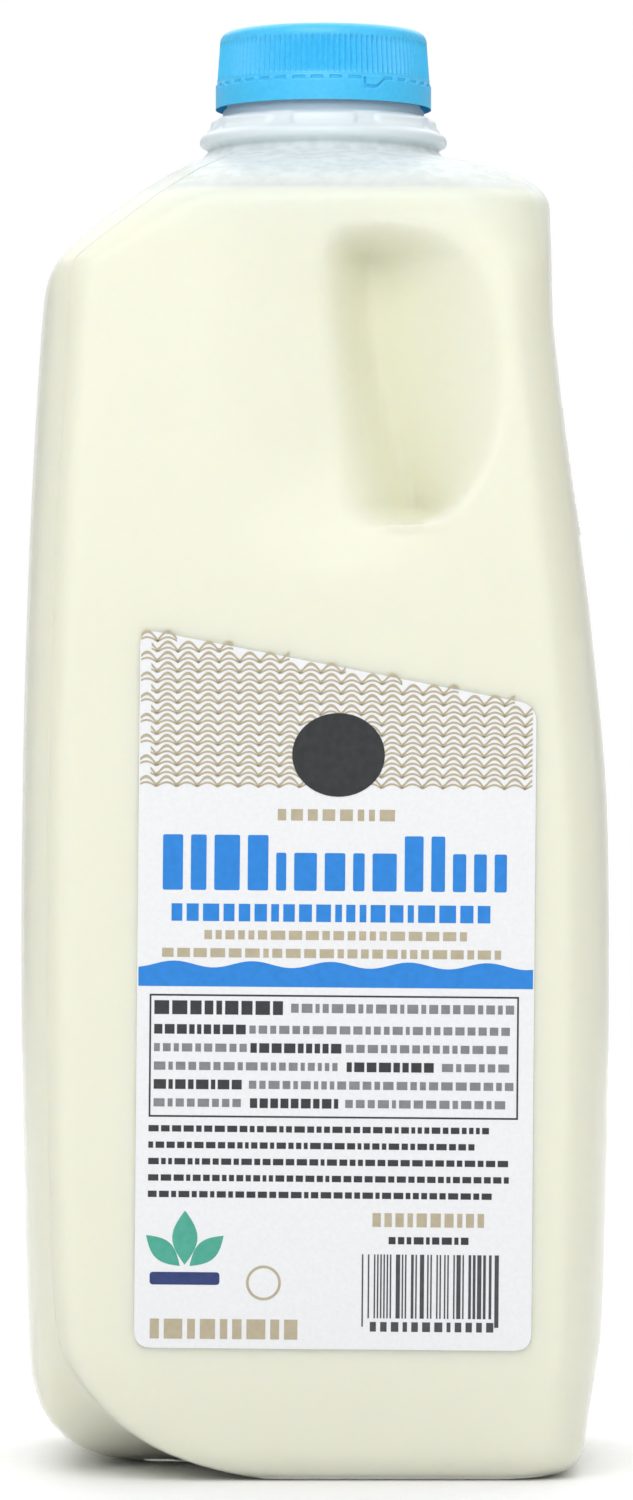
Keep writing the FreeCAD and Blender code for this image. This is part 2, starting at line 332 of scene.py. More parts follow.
# %% Rows of the skin
COLUMNS = 252
BASE_ROWS = 20
PANEL_ROWS = 44
GRIP_ROWS = 52
SHOULDER_ROWS = 32
BASE_CENTRE = (6 * MM, -6 * MM)


def body_rows(top):
    """Heights of the rows from the foot to top, closest together at the foot and at the grip."""
    base_top, panel_top, side_top = TAPER_Z + 3 * MM, 150 * MM, SHOULDER - 6 * MM
    rows = [base_top * (1 - math.cos(math.pi / 2 * i / BASE_ROWS)) for i in range(BASE_ROWS)]
    rows += [base_top + (panel_top - base_top) * i / PANEL_ROWS for i in range(PANEL_ROWS)]
    rows += [panel_top + (side_top - panel_top) * i / GRIP_ROWS for i in range(GRIP_ROWS)]
    rows += [side_top + (NECK_BASE - side_top) * i / SHOULDER_ROWS for i in range(SHOULDER_ROWS)]
    return [z for z in rows if z < top - 0.3 * MM] + [top]


def skin_point(z, turn, grow):
    """One point of the body's skin."""
    x, y = outline(z, grow, turn)
    return push_from_valley(sink_hollows((x, y, z)), grow)


def rolled_skin(rows, place, columns=COLUMNS):
    """A bmesh tube: a grid with a row for each entry of rows, rolled up by place(row, turn)."""
    bm = bmesh.new()
    bmesh.ops.create_grid(bm, x_segments=columns, y_segments=len(rows) - 1, size=1.0)
    for vert in bm.verts:
        turn = (vert.co.x + 1) / 2
        row = round((vert.co.y + 1) / 2 * (len(rows) - 1))
        vert.co = place(rows[row], turn % 1.0)
    bmesh.ops.remove_doubles(bm, verts=bm.verts, dist=WELD)
    return bm


def end_loop(bm, lowest):
    """The edges of the tube's open end, at the bottom or at the top."""
    rim = [edge for edge in bm.edges if edge.is_boundary]
    middle = sum(edge.verts[0].co.z for edge in rim) / len(rim)
    return [edge for edge in rim if (edge.verts[0].co.z < middle) == lowest]


def close_end(bm, edges, steps, centre):
    """Draws an open end in, ring by ring, and fills the last one. A step is a share of the rim's
    distance from centre, a height, and how much of the rim's own height is left there."""
    last = 1.0
    heights = {}
    for share, height, left in steps:
        made = bmesh.ops.extrude_edge_only(bm, edges=edges)["geom"]
        edges = [item for item in made if isinstance(item, bmesh.types.BMEdge)]
        ring_edges = set(edges)
        for vert in [item for item in made if isinstance(item, bmesh.types.BMVert)]:
            below = [edge.other_vert(vert) for edge in vert.link_edges if edge not in ring_edges][0]
            rim = heights.get(below, below.co.z)
            heights[vert] = rim
            vert.co.x = centre[0] + (vert.co.x - centre[0]) * share / last
            vert.co.y = centre[1] + (vert.co.y - centre[1]) * share / last
            vert.co.z = height + rim * left
        last = share
    bmesh.ops.contextual_create(bm, geom=edges)


def finished(bm, name, smooth_angle):
    """Turns a bmesh into an object that rides on the jug, smooth but for its sharp edges."""
    bmesh.ops.recalc_face_normals(bm, faces=bm.faces)
    sharp = math.radians(smooth_angle)
    for face in bm.faces:
        face.smooth = True
    for edge in bm.edges:
        edge.smooth = len(edge.link_faces) == 2 and edge.calc_face_angle(0) < sharp
    mesh = bpy.data.meshes.new(name)
    bm.to_mesh(mesh)
    bm.free()
    piece = bpy.data.objects.new(name, mesh)
    bpy.context.scene.collection.objects.link(piece)
    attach(piece, "root")
    print(name, len(mesh.polygons), "faces")
    return piece


# %% [markdown]
# ## The bottle
# One skin runs from the foot, over the shoulder and up the neck to the lip. The base is drawn in
# ring by ring: a flat foot, a step up and a shallow dome. Solidify then gives the thin wall.

# %% Make the bottle
# share of the rim, height, and how much of the rim's own height is left
BASE_STEPS = [
    (0.97, 0.0, 0.8),
    (0.92, 0.0, 0.5),
    (0.86, 0.0, 0.3),
    (0.82, 1.6 * MM, 0.2),
    (0.79, 2.8 * MM, 0.1),
    (0.5, 2.9 * MM, 0.0),
    (0.2, 3.0 * MM, 0.0),
]


def bottle_place(row, turn):
    """A point of the bottle's skin: on the body, or on the neck where the row has a radius."""
    radius, z = row
    if radius is None:
        return skin_point(z, turn, 0.0)
    angle = 2 * math.pi * turn
    radius += lug_lift(angle, radius, z)
    return Vector((NECK_X + radius * math.cos(angle), radius * math.sin(angle), z))


def mark_hollow_shade_depth(bm):
    """Stores on every vertex how deep it lies below the plain side, as a share of the grip's
    depth. The material uses it to paint shade into the grip hollows, darker and yellower."""
    layer = bm.verts.layers.float.new("hollow_shade_depth")
    for vert in bm.verts:
        x, y, z = vert.co
        if 140 * MM < z < 222 * MM:
            near, right = sides(z)[2], sides(z)[1]
            front = (y - near) / GRIP_DEPTH if x > -25 * MM and y < 0 else 0.0
            aside = (right - x) / GRIP_DEPTH if y < 25 * MM and x > 0 else 0.0
            vert[layer] = min(1.0, max(0.0, front if -y * WIDTH > x * DEPTH else aside))


def make_bottle():
    """The bottle, replacing the plain jug node."""
    rows = [(None, z) for z in body_rows(NECK_BASE)]
    rows += [(radius * MM, z * MM) for radius, z in NECK_PROFILE[1:]]
    bm = rolled_skin(rows, bottle_place)
    mark_hollow_shade_depth(bm)
    close_end(bm, end_loop(bm, True), BASE_STEPS, BASE_CENTRE)
    piece = finished(bm, "bottle", 70)
    wall = piece.modifiers.new("wall", "SOLIDIFY")
    wall.thickness = WALL
    wall.offset = -1
    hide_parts("jug")
    return piece


bottle = make_bottle()

# %% [markdown]
# The two halves of the mould leave a fine raised line down opposite corners of the bottle. It is a
# thin tube laid along the corner of the same skin, half sunk into it.

# %% Make the mould's seam lines
SEAM_RADIUS = 0.16 * MM
SEAM_SINK = -0.05 * MM


def corner_turn(z, far):
    """Where the middle of a seam corner lies round the section at height z."""
    left, right, near, far_side, radius = sides(z)
    across, deep, arc = right - left - 2 * radius, far_side - near - 2 * radius, radius * math.pi / 2
    walk = deep / 2 + arc / 2 if far else deep * 1.5 + 2.5 * arc + across
    return walk / (2 * across + 2 * deep + 4 * arc)


def make_seam(name, far):
    """One seam line from the foot to the root of the neck."""
    curve = bpy.data.curves.new(name, "CURVE")
    curve.dimensions = "3D"
    curve.bevel_depth = SEAM_RADIUS
    curve.bevel_resolution = 1
    rows = [z for z in body_rows(NECK_BASE) if z > 1 * MM]
    line = curve.splines.new("POLY")
    line.points.add(len(rows) - 1)
    for point, z in zip(line.points, rows):
        point.co = (*skin_point(z, corner_turn(z, far), SEAM_SINK), 1)
    tube = bpy.data.objects.new(name + "_line", curve)
    mesh = bpy.data.meshes.new_from_object(tube)
    for face in mesh.polygons:
        face.use_smooth = True
    piece = bpy.data.objects.new(name, mesh)
    bpy.context.scene.collection.objects.link(piece)
    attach(piece, "root")
    print(name, len(mesh.polygons), "faces")
    return piece


seams = [make_seam("seam_near", False), make_seam("seam_far", True)]

# %% [markdown]
# ## The milk
# The milk fills the bottle up to the shoulder. Its piece uses the same rules as the skin, drawn
# in by half a wall, so that it reaches just into the plastic and no gap of air shows.

# %% Make the milk
MILK_GROW = -WALL / 2
MILK_STEPS = [0.985, 0.93, 0.5, 0.15]


def milk_place(z, turn):
    """A point of the milk's side: the skin's, half a wall in."""
    point = skin_point(z, turn, MILK_GROW)
    point.z = max(point.z, -MILK_GROW)
    return point


def make_milk():
    """The milk, replacing the plain milk node."""
    bm = rolled_skin(body_rows(MILK_TOP), milk_place)
    base_steps = [(share, z - MILK_GROW, left) for share, z, left in BASE_STEPS]
    close_end(bm, end_loop(bm, True), base_steps, BASE_CENTRE)
    top = [edge for edge in bm.edges if edge.is_boundary]
    close_end(bm, top, [(share, MILK_TOP, 0.0) for share in MILK_STEPS], (NECK_X, 0))
    piece = finished(bm, "milk_fill", 50)
    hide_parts("milk")
    return piece


milk = make_milk()

# %% [markdown]
# ## The cap
# The cap is one polyethylene moulding. Its skirt has more than a hundred fine upright ribs, its
# top edge is rounded, and a scored line with short bridges parts the tamper band from it.
# A grid rolled into a tube gives the skin; a wave round the tube gives the ribs, and
# the score is a groove that skips the bridges and steps down at each ratchet tab.

# %% Sizes of the cap
RIBS = 114
RIB_COLUMNS = 6
RIB_DEPTH = 0.5 * MM
BAND_TOP = CAP_BOTTOM + 4.4 * MM
RIB_BOTTOM = BAND_TOP + 0.9 * MM
RIB_TOP = CAP_TOP - 2.0 * MM
BAND_RADIUS = CAP_RADIUS
TOP_RADIUS = CAP_RADIUS - 0.75 * MM
SCORE_HALF = 0.26 * MM
SCORE_DEPTH = 0.42 * MM
TABS = 3
TAB_WIDE = math.radians(14)
TAB_DROP = 1.5 * MM
SKIRT_STEP = 0.2 * MM
BAND_ROWS = 36
RIM_ROUND = 0.5 * MM
RIB_RUNOUT = 0.2 * MM
EDGE_STEPS = 10
# share of the radius, and distance below the top or above the lower edge
DISH_STEPS = [(0.85, 0.0), (0.82, 0.12 * MM), (0.79, 0.18 * MM), (0.3, 0.2 * MM)]
RIM_STEPS = [(0.995, 0.12 * MM), (0.975, 0.0), (0.955, 0.1 * MM), (0.948, 0.6 * MM)]


def cap_rows():
    """Heights of the cap's rows from the band's lower edge to the start of the rounded top."""
    start = CAP_BOTTOM + RIM_ROUND
    rows = [start + (RIB_BOTTOM - start) * i / BAND_ROWS for i in range(BAND_ROWS + 1)]
    rows += [RIB_BOTTOM + 0.25 * MM, RIB_BOTTOM + 0.5 * MM]
    rows += [RIB_BOTTOM + 0.5 * MM + (RIB_TOP - RIB_BOTTOM - 0.8 * MM) * i / 6 for i in range(1, 7)]
    return rows + [RIB_TOP, RIB_TOP + RIB_RUNOUT]


def score_depth(angle, z):
    """The depth of the scored line here: it skips its bridges and steps down at the tabs."""
    step = 2 * math.pi / TABS
    local = (angle - math.radians(-68)) % step
    line = BAND_TOP
    if local < TAB_WIDE:
        line -= TAB_DROP * (1 - smooth_step(local, TAB_WIDE * 0.45, TAB_WIDE))
        if local < TAB_WIDE * 0.07 and line < z < BAND_TOP:
            return SCORE_DEPTH
    elif (angle * 36 / (2 * math.pi)) % 1.0 < 0.34:
        return 0.0
    return SCORE_DEPTH * (1 - smooth_step(abs(z - line), SCORE_HALF * 0.6, SCORE_HALF * 1.4))


def cap_place(z, turn):
    """A point of the cap's side."""
    angle = 2 * math.pi * turn - math.pi
    skirt = smooth_step(z, BAND_TOP + 0.1 * MM, BAND_TOP + 0.5 * MM)
    climb = max(0.0, (z - BAND_TOP) / (RIB_TOP - BAND_TOP))
    radius = BAND_RADIUS - SKIRT_STEP * skirt
    radius -= (BAND_RADIUS - SKIRT_STEP - TOP_RADIUS) * min(1.0, climb)
    ribbed = smooth_step(z, RIB_BOTTOM, RIB_BOTTOM + 0.3 * MM)
    ribbed *= 1 - smooth_step(z, RIB_TOP - 0.3 * MM, RIB_TOP)
    radius -= RIB_DEPTH * ribbed * (0.5 - 0.5 * math.cos(RIBS * angle)) ** 0.8
    radius -= score_depth(angle, z)
    return Vector((NECK_X + radius * math.cos(angle), radius * math.sin(angle), z))


# %% Make the cap
def make_cap():
    """The cap, replacing the plain cap node."""
    bm = rolled_skin(cap_rows(), cap_place, RIBS * RIB_COLUMNS)
    edge_start = RIB_TOP + RIB_RUNOUT
    edge = CAP_TOP - RIB_TOP - RIB_RUNOUT
    top = []
    for i in range(1, EDGE_STEPS + 1):
        turn = math.pi / 2 * i / EDGE_STEPS
        share = (TOP_RADIUS - edge * (1 - math.cos(turn))) / TOP_RADIUS
        top.append((share, edge_start + edge * math.sin(turn), 0.0))
    top += [(share, CAP_TOP - drop, 0.0) for share, drop in DISH_STEPS]
    close_end(bm, end_loop(bm, False), top, (NECK_X, 0))
    inner = [(share, CAP_BOTTOM + rise, 0.0) for share, rise in RIM_STEPS]
    inner += [(0.948, FINISH_TOP, 0.0), (0.3, FINISH_TOP + 0.02 * MM, 0.0)]
    close_end(bm, end_loop(bm, True), inner, (NECK_X, 0))
    piece = finished(bm, "cap_moulding", 62)
    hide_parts("cap")
    return piece


cap = make_cap()

# %% [markdown]
# ## The label
# The label is a sheet of coated paper with rounded corners, stuck a little crooked on the flat
# front. It is a rounded outline, extruded by the thickness of the paper.

# %% Label outline
LABEL_LEFT, LABEL_RIGHT = -30.1 * MM, 35.8 * MM
LABEL_BOTTOM, LABEL_LEFT_TOP, LABEL_RIGHT_TOP = 22.4 * MM, 141.7 * MM, 129.6 * MM
LABEL_CORNER = 2.9 * MM
LABEL_TURN = math.radians(-0.5)
LABEL_CENTRE = ((LABEL_LEFT + LABEL_RIGHT) / 2, LABEL_BOTTOM)
LABEL_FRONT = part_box("label")[0][1]
PAPER_SINK = 0.5 * MM
PRINT_PROUD = 0.03 * MM


def on_label(x, z):
    """A point of the label's own plane, turned with the label."""
    x, z = x - LABEL_CENTRE[0], z - LABEL_CENTRE[1]
    turned = (x * math.cos(LABEL_TURN) - z * math.sin(LABEL_TURN),
              x * math.sin(LABEL_TURN) + z * math.cos(LABEL_TURN))
    return turned[0] + LABEL_CENTRE[0], turned[1] + LABEL_CENTRE[1]


def label_face(bm, corners, front):
    """One flat face on the plane front, with its corners given on the label."""
    points = [on_label(x, z) for x, z in corners]
    return bm.faces.new([bm.verts.new((x, front, z)) for x, z in points])


def rounded(corners, radius, steps=6):
    """A polygon with each corner replaced by an arc of about radius."""
    out = []
    for i, (x, z) in enumerate(corners):
        here = Vector((x, z))
        before = (Vector(corners[i - 1]) - here).normalized()
        after = (Vector(corners[(i + 1) % len(corners)]) - here).normalized()
        for k in range(steps + 1):
            t = k / steps
            start, end = here + before * radius, here + after * radius
            out.append(tuple(start * (1 - t) ** 2 + here * 2 * t * (1 - t) + end * t * t))
    return out


def block(x0, x1, z0, z1, radius=0.0):
    """The corners of an upright rectangle on the label, rounded if asked."""
    corners = [(x0 * MM, z0 * MM), (x1 * MM, z0 * MM), (x1 * MM, z1 * MM), (x0 * MM, z1 * MM)]
    return rounded(corners, radius * MM) if radius else corners


def oval(x, z, wide, high, steps=48):
    """The corners of an oval on the label."""
    turns = [2 * math.pi * i / steps for i in range(steps)]
    return [((x + wide / 2 * math.cos(a)) * MM, (z + high / 2 * math.sin(a)) * MM) for a in turns]


# %% Make the label sheet
def make_sheet():
    """The paper, replacing the plain label node."""
    bm = bmesh.new()
    corners = [(LABEL_LEFT, LABEL_BOTTOM), (LABEL_RIGHT, LABEL_BOTTOM), (LABEL_RIGHT, LABEL_RIGHT_TOP),
               (LABEL_LEFT, LABEL_LEFT_TOP)]
    face = label_face(bm, rounded(corners, LABEL_CORNER), LABEL_FRONT)
    back = bmesh.ops.extrude_face_region(bm, geom=[face])["geom"]
    for vert in [item for item in back if isinstance(item, bmesh.types.BMVert)]:
        vert.co.y += PAPER_SINK
    piece = finished(bm, "label_sheet", 30)
    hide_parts("label")
    return piece


sheet = make_sheet()

# %% [markdown]
# ## The print
# The print is offset ink, a fraction of a millimetre deep here so that it catches no light of its
# own. Every ink has one piece, made of plain shapes: blocks, bars, rules, ovals and waves. There are no
# words. The shapes keep the colours, scale and rhythm of a plain milk label.

# %% Helpers for the print
def print_piece(name, shapes, proud=PRINT_PROUD):
    """One ink: every shape becomes a thin raised face with an edge that sinks into the paper."""
    bm = bmesh.new()
    faces = [label_face(bm, corners, LABEL_FRONT - proud) for corners in shapes]
    made = bmesh.ops.extrude_face_region(bm, geom=faces)["geom"]
    for vert in [item for item in made if isinstance(item, bmesh.types.BMVert)]:
        vert.co.y += proud + PRINT_PROUD
    piece = finished(bm, name, 30)
    return piece


def bars(x0, x1, z, high, seed, gap, mean):
    """A line of short bars with gaps, standing for a line of small print."""
    dice = random.Random(seed)
    out, x = [], x0
    while x < x1 - 1.0:
        wide = min(mean * dice.uniform(0.5, 1.5), x1 - x)
        out.append(block(x, x + wide, z - high / 2, z + high / 2))
        x += wide + gap
    return out


def ring(x, z, outer, inner, steps=40):
    """A ring as a list of four-sided shapes."""
    turns = [2 * math.pi * i / steps for i in range(steps + 1)]
    out = []
    for a, b in zip(turns, turns[1:]):
        out.append([((x + r * math.cos(t)) * MM, (z + r * math.sin(t)) * MM) for r,
                    t in ((inner, a), (outer, a), (outer, b), (inner, b))])
    return out


def wave_line(x0, x1, z, high, length, thick, steps=8):
    """A scalloped line, as a list of four-sided shapes."""
    count = int((x1 - x0) / length * steps)
    out = []
    for i in range(count):
        xs = [x0 + (x1 - x0) * k / count for k in (i, i + 1)]
        zs = [z + high * abs(math.sin(math.pi * x / length)) for x in xs]
        out.append([(xs[0] * MM, zs[0] * MM), (xs[1] * MM, zs[1] * MM),
                    (xs[1] * MM, (zs[1] + thick) * MM), (xs[0] * MM, (zs[0] + thick) * MM)])
    return out


def frame_of(x0, x1, z0, z1, thick):
    """A rectangular frame line."""
    return [block(x0, x1, z0, z0 + thick), block(x0, x1, z1 - thick, z1),
            block(x0, x0 + thick, z0 + thick, z1 - thick), block(x1 - thick, x1, z0 + thick,
                                                                 z1 - thick)]


# %% Make the print
def edge_x(z):
    """How far right the slanted top lets a line of the pattern run at height z."""
    return min(35.2, -30.1 + (140.6 - z) / 0.1836)


def tan_shapes():
    """The taupe ink: rows of scales under the slanted top, lines of small bars and a ring."""
    out = []
    for row in range(15):
        z = 115.4 + row * 1.72
        out += wave_line(-29.9 + 1.7 * (row % 2), edge_x(z), z, 1.5, 3.4, 0.52)
        out += wave_line(-29.9 + 1.7 * (row % 2), edge_x(z), z - 0.1, 0.75, 3.4, 0.34)
    out += bars(-7, 13, 111.0, 1.9, 3, 0.8, 1.9)
    out += bars(-19, 25, 91.0, 1.5, 4, 0.6, 1.7) + bars(-26, 31, 88.0, 1.5, 5, 0.6, 1.7)
    out += ring(-8.7, 33.3, 2.9, 2.45)
    out += bars(-27.5, -3.0, 25.6, 3.3, 8, 0.8, 2.1) + bars(9.3, 29, 43.9, 2.3, 10, 0.6, 1.3)
    return out


def blue_shapes():
    """The blue ink: a row of large blocks, a row of bars and the wavy band."""
    out, x, dice = [], -26.0, random.Random(5)
    while x < 31:
        wide = dice.uniform(1.6, 4.4)
        out.append(block(x, min(x + wide, 32.6), 98.4, 98.4 + dice.choice((6.3, 6.3, 9.2)), 0.35))
        x += wide + 1.3
    out += bars(-24.5, 30.0, 94.7, 2.9, 11, 0.7, 1.9)
    steps = 66
    for i in range(steps):
        xs = [-29.9 + 65.5 * k / steps for k in (i, i + 1)]
        tops = [86.1 + 0.55 * math.sin(2 * math.pi * x / 13 + 0.6) for x in xs]
        out.append([(xs[0] * MM, 82.4 * MM), (xs[1] * MM, 82.4 * MM), (xs[1] * MM, tops[1] * MM),
                    (xs[0] * MM, tops[0] * MM)])
    return out


def black_shapes():
    """The black ink: the ruled box, its lines of bars and the lines below it."""
    out = frame_of(-28.0, 33.3, 60.7, 81.1, 0.3)
    out += bars(-27.2, -5.5, 78.9, 2.3, 6, 0.5, 1.9)
    for row in range(5):
        out += bars(-27.2 + 16 * ((row * 7) % 3), -12.0 + 16 * ((row * 7) % 3), 75.3 - row * 3.05, 1.6,
                    12 + row, 0.4, 1.4)
    for row, end in enumerate((28.5, 26.5, 32.0, 32.5, 29.5)):
        out += bars(-28.0, end, 58.8 - row * 2.72, 1.05, 20 + row, 0.4, 1.2)
    out += bars(12.0, 26.0, 40.5, 1.2, 9, 0.4, 1.2)
    return out


def grey_shapes():
    """Thin black ink over paper, which reads as grey: the lighter bars inside the box."""
    out = bars(-4.5, 32.5, 78.9, 1.5, 40, 0.5, 1.3)
    for row in range(5):
        gap = -27.2 + 16 * ((row * 7) % 3)
        if gap > -27:
            out += bars(-27.2, gap - 0.6, 75.3 - row * 3.05, 1.35, 50 + row, 0.5, 1.3)
        out += bars(gap + 15.8, 32.5, 75.3 - row * 3.05, 1.35, 60 + row, 0.5, 1.3)
    return out


def stripe_shapes():
    """Upright stripes of random widths in the lower right corner, with a row of bars under them."""
    dice, out, x = random.Random(31), [], 7.6
    while x < 30.6:
        wide = dice.choice((0.25, 0.25, 0.45, 0.7))
        out.append(block(x, x + wide, 27.6 if 8.4 < x < 29.6 else 26.2, 38.2))
        x += wide + dice.choice((0.28, 0.28, 0.5, 0.75))
    return out + bars(9.0, 29.5, 26.2, 1.6, 33, 0.7, 0.95)


def leaf(x, z, high, wide, turn):
    """A pointed leaf standing on its tip, turned by some degrees."""
    rim = [(math.sin(math.pi * t / 14) * wide / 2, high * t / 14) for t in range(14)]
    rim += [(-math.sin(math.pi * t / 14) * wide / 2, high * t / 14) for t in range(14, 0, -1)]
    c, k = math.cos(math.radians(turn)), math.sin(math.radians(turn))
    return [((x + px * c - pz * k) * MM, (z + px * k + pz * c) * MM) for px, pz in rim]


def green_shapes():
    """Three leaves in the lower left corner."""
    return [leaf(-21.8, 36.2, 9.0, 4.2, 0), leaf(-22.6, 36.0, 7.6, 3.4, 48),
            leaf(-21.0, 36.0, 7.6, 3.4, -48)]


tan_print = print_piece("print_tan", tan_shapes())
blue_print = print_piece("print_blue", blue_shapes())
black_print = print_piece("print_black", black_shapes())
badge_print = print_piece("print_badge", [oval(3.0, 121.0, 15.4, 13.9)], 0.08 * MM)
navy_print = print_piece("print_navy", [block(-27.6, -16.0, 32.9, 35.0, 0.6)])
grey_print = print_piece("print_grey", grey_shapes())
stripe_print = print_piece("print_stripes", stripe_shapes())
green_print = print_piece("print_green", green_shapes())

# %% [markdown]
# ## Materials
# Polyethylene, milk, cap plastic, paper and ink each get a material named for what it is and how
# it was made. Two small helpers keep them short: one turns a screen colour into the
# renderer's linear numbers, one adds a node and fills it in.

# %% Helpers for materials
def colour(code):
    """A screen colour such as FFFFFF as linear red, green, blue and one."""
    parts = [int(code[i:i + 2], 16) / 255 for i in (0, 2, 4)]
    linear = [c / 12.92 if c <= 0.04045 else ((c + 0.055) / 1.055) ** 2.4 for c in parts]
    return (*linear, 1.0)


def add(tree, kind, links=None, **values):
    """Adds a node. Values go to properties or inputs, and links to inputs from other nodes."""
    node = tree.nodes.new(kind)
    for key, value in values.items():
        if hasattr(node, key):
            setattr(node, key, value)
        else:
            node.inputs[key.replace("_", " ")].default_value = value
    for key, socket in (links or {}).items():
        tree.links.new(socket, node.inputs[key])
    return node


def new_material(name):
    """An empty material: its tree and its main shader."""
    material = bpy.data.materials.new(name)
    material.use_nodes = True
    tree = material.node_tree
    return material, tree, tree.nodes["Principled BSDF"]


def ramp(tree, factor, low, high, steps):
    """A mapped range of a factor, then a colour ramp. Steps are places and colours."""
    mapped = add(tree, "ShaderNodeMapRange", {"Value": factor}, From_Min=low, From_Max=high)
    node = add(tree, "ShaderNodeValToRGB", {"Fac": mapped.outputs["Result"]})
    elements = node.color_ramp.elements
    while len(elements) < len(steps):
        elements.new(0.5)
    for element, (place, shade) in zip(elements, steps):
        element.position = place
        element.color = shade
    return node.outputs["Color"]


# %% [markdown]
# Natural polyethylene has no pigment. It scatters light like frosted glass: clear enough to tell
# full from empty, milky white where milk stands behind it. Its surface is satin, with the
# faint pull of the blowing and fine scuffs. Two things here are matched and not measured:
# the painted shade inside the grip hollows, darker and yellower, and the faint froth on the wall above
# the milk.

# %% Bottle material
def bottle_material():
    """Natural polyethylene: whiter and denser over milk, cooler and clearer above it. The grip hollows
    and the neck just under the cap get painted shade, the neck also painted blue light from the cap.
    """
    material, tree, shader = new_material("blow_moulded_natural_polyethylene")
    place = add(tree, "ShaderNodeTexCoord").outputs["Object"]
    height = add(tree, "ShaderNodeSeparateXYZ", {"Vector": place}).outputs["Z"]
    # Warmer over milk and cooler above it. The last stop, darker and bluer, is painted shade under the
    # cap band together with painted blue light shining through the cap.
    tone = ramp(tree, height, 0.205, 0.235,
                [(0.0, colour("F7F8EC")), (0.5, colour("EFF7F5")), (0.86, colour("EEF9FD")),
                 (0.9, colour("D3ECFB"))])
    # Painted shade in the grip hollows: the deeper a vertex lies, the more the plastic is mixed towards
    # a darker, yellower colour that stands for shade and for light bounced between the hollow's walls.
    hollow_shade_depth = add(tree, "ShaderNodeAttribute", attribute_name="hollow_shade_depth").outputs["Fac"]
    deep = add(tree, "ShaderNodeMapRange", {"Value": hollow_shade_depth}, From_Min=0.15, From_Max=1.0, To_Min=0.0,
               To_Max=0.42)
    painted_hollow_shade = add(tree, "ShaderNodeMix", {"Factor": deep.outputs["Result"], "A": tone}, data_type="RGBA")
    painted_hollow_shade.inputs[7].default_value = colour("D9D4A0")
    tree.links.new(painted_hollow_shade.outputs[2], shader.inputs["Base Color"])
    clear = ramp(tree, height, 0.214, 0.230,
                 [(0.0, (0.45,) * 3 + (1,)), (0.5, (0.74,) * 3 + (1,)), (1.0, (0.9,) * 3 + (1,))])
    froth = add(tree, "ShaderNodeTexNoise", {"Vector": place}, Scale=420.0, Detail=4.0)
    above = ramp(tree, height, 0.2155, 0.2275,
                 [(0.0, (0, 0, 0, 1)), (0.3, (0.05, 0.05, 0.05, 1)), (0.8, (0.07, 0.07, 0.07, 1)),
                  (1.0, (0, 0, 0, 1))])
    specks = add(tree, "ShaderNodeMapRange", {"Value": froth.outputs["Fac"]}, From_Min=0.38,
                 From_Max=0.62, To_Min=-1.0, To_Max=1.0)
    frothy = add(tree, "ShaderNodeMath", {0: specks.outputs["Result"], 1: above, 2: clear},
                 operation="MULTIPLY_ADD")
    tree.links.new(frothy.outputs["Value"], shader.inputs["Alpha"])
    pull = add(tree, "ShaderNodeTexNoise", {"Vector": place}, Scale=45.0, Detail=3.0)
    scuff = add(tree, "ShaderNodeTexNoise", {"Vector": place}, Scale=900.0, Detail=2.0)
    both = add(tree, "ShaderNodeMath", {0: pull.outputs["Fac"], 1: scuff.outputs["Fac"]},
               operation="MULTIPLY")
    rough = add(tree, "ShaderNodeMapRange", {"Value": both.outputs["Value"]}, To_Min=0.30, To_Max=0.46)
    tree.links.new(rough.outputs["Result"], shader.inputs["Roughness"])
    bump = add(tree, "ShaderNodeBump", {"Height": pull.outputs["Fac"]}, Strength=0.25, Distance=0.0006)
    tree.links.new(bump.outputs["Normal"], shader.inputs["Normal"])
    shader.inputs["IOR"].default_value = 1.54
    shader.inputs["Subsurface Weight"].default_value = 0.3
    shader.inputs["Subsurface Radius"].default_value = (1.0, 0.9, 0.75)
    shader.inputs["Subsurface Scale"].default_value = 0.003
    return material


# %% Milk material
def milk_material():
    """Skim milk: an ivory liquid that scatters light a few millimetres deep."""
    material, tree, shader = new_material("skim_milk")
    place = add(tree, "ShaderNodeTexCoord").outputs["Object"]
    height = add(tree, "ShaderNodeSeparateXYZ", {"Vector": place}).outputs["Z"]
    # Painted shade: the milk is a little darker towards the foot, where the jug gets less light.
    tone = ramp(tree, height, 0.0, 0.216, [(0.0, colour("F2F1DA")), (1.0, colour("F8F6DE"))])
    tree.links.new(tone, shader.inputs["Base Color"])
    shader.inputs["Roughness"].default_value = 0.3
    shader.inputs["IOR"].default_value = 1.35
    shader.inputs["Subsurface Weight"].default_value = 0.6
    shader.inputs["Subsurface Radius"].default_value = (1.0, 0.8, 0.5)
    shader.inputs["Subsurface Scale"].default_value = 0.005
    return material


# %% Cap material
def cap_material():
    """Injection moulded cap: clear sky blue with a satin surface and a little glow through it."""
    material, tree, shader = new_material("injection_moulded_blue_polyethylene")
    place = add(tree, "ShaderNodeTexCoord").outputs["Object"]
    fleck = add(tree, "ShaderNodeTexNoise", {"Vector": place}, Scale=1200.0, Detail=2.0)
    tone = ramp(tree, fleck.outputs["Fac"], 0.3, 0.7,
                [(0.0, colour("42BEF0")), (1.0, colour("4AC5F5"))])
    tree.links.new(tone, shader.inputs["Base Color"])
    rough = add(tree, "ShaderNodeMapRange", {"Value": fleck.outputs["Fac"]}, To_Min=0.32, To_Max=0.42)
    tree.links.new(rough.outputs["Result"], shader.inputs["Roughness"])
    shader.inputs["IOR"].default_value = 1.51
    shader.inputs["Subsurface Weight"].default_value = 0.25
    shader.inputs["Subsurface Radius"].default_value = (0.4, 0.8, 1.0)
    shader.inputs["Subsurface Scale"].default_value = 0.0015
    return material


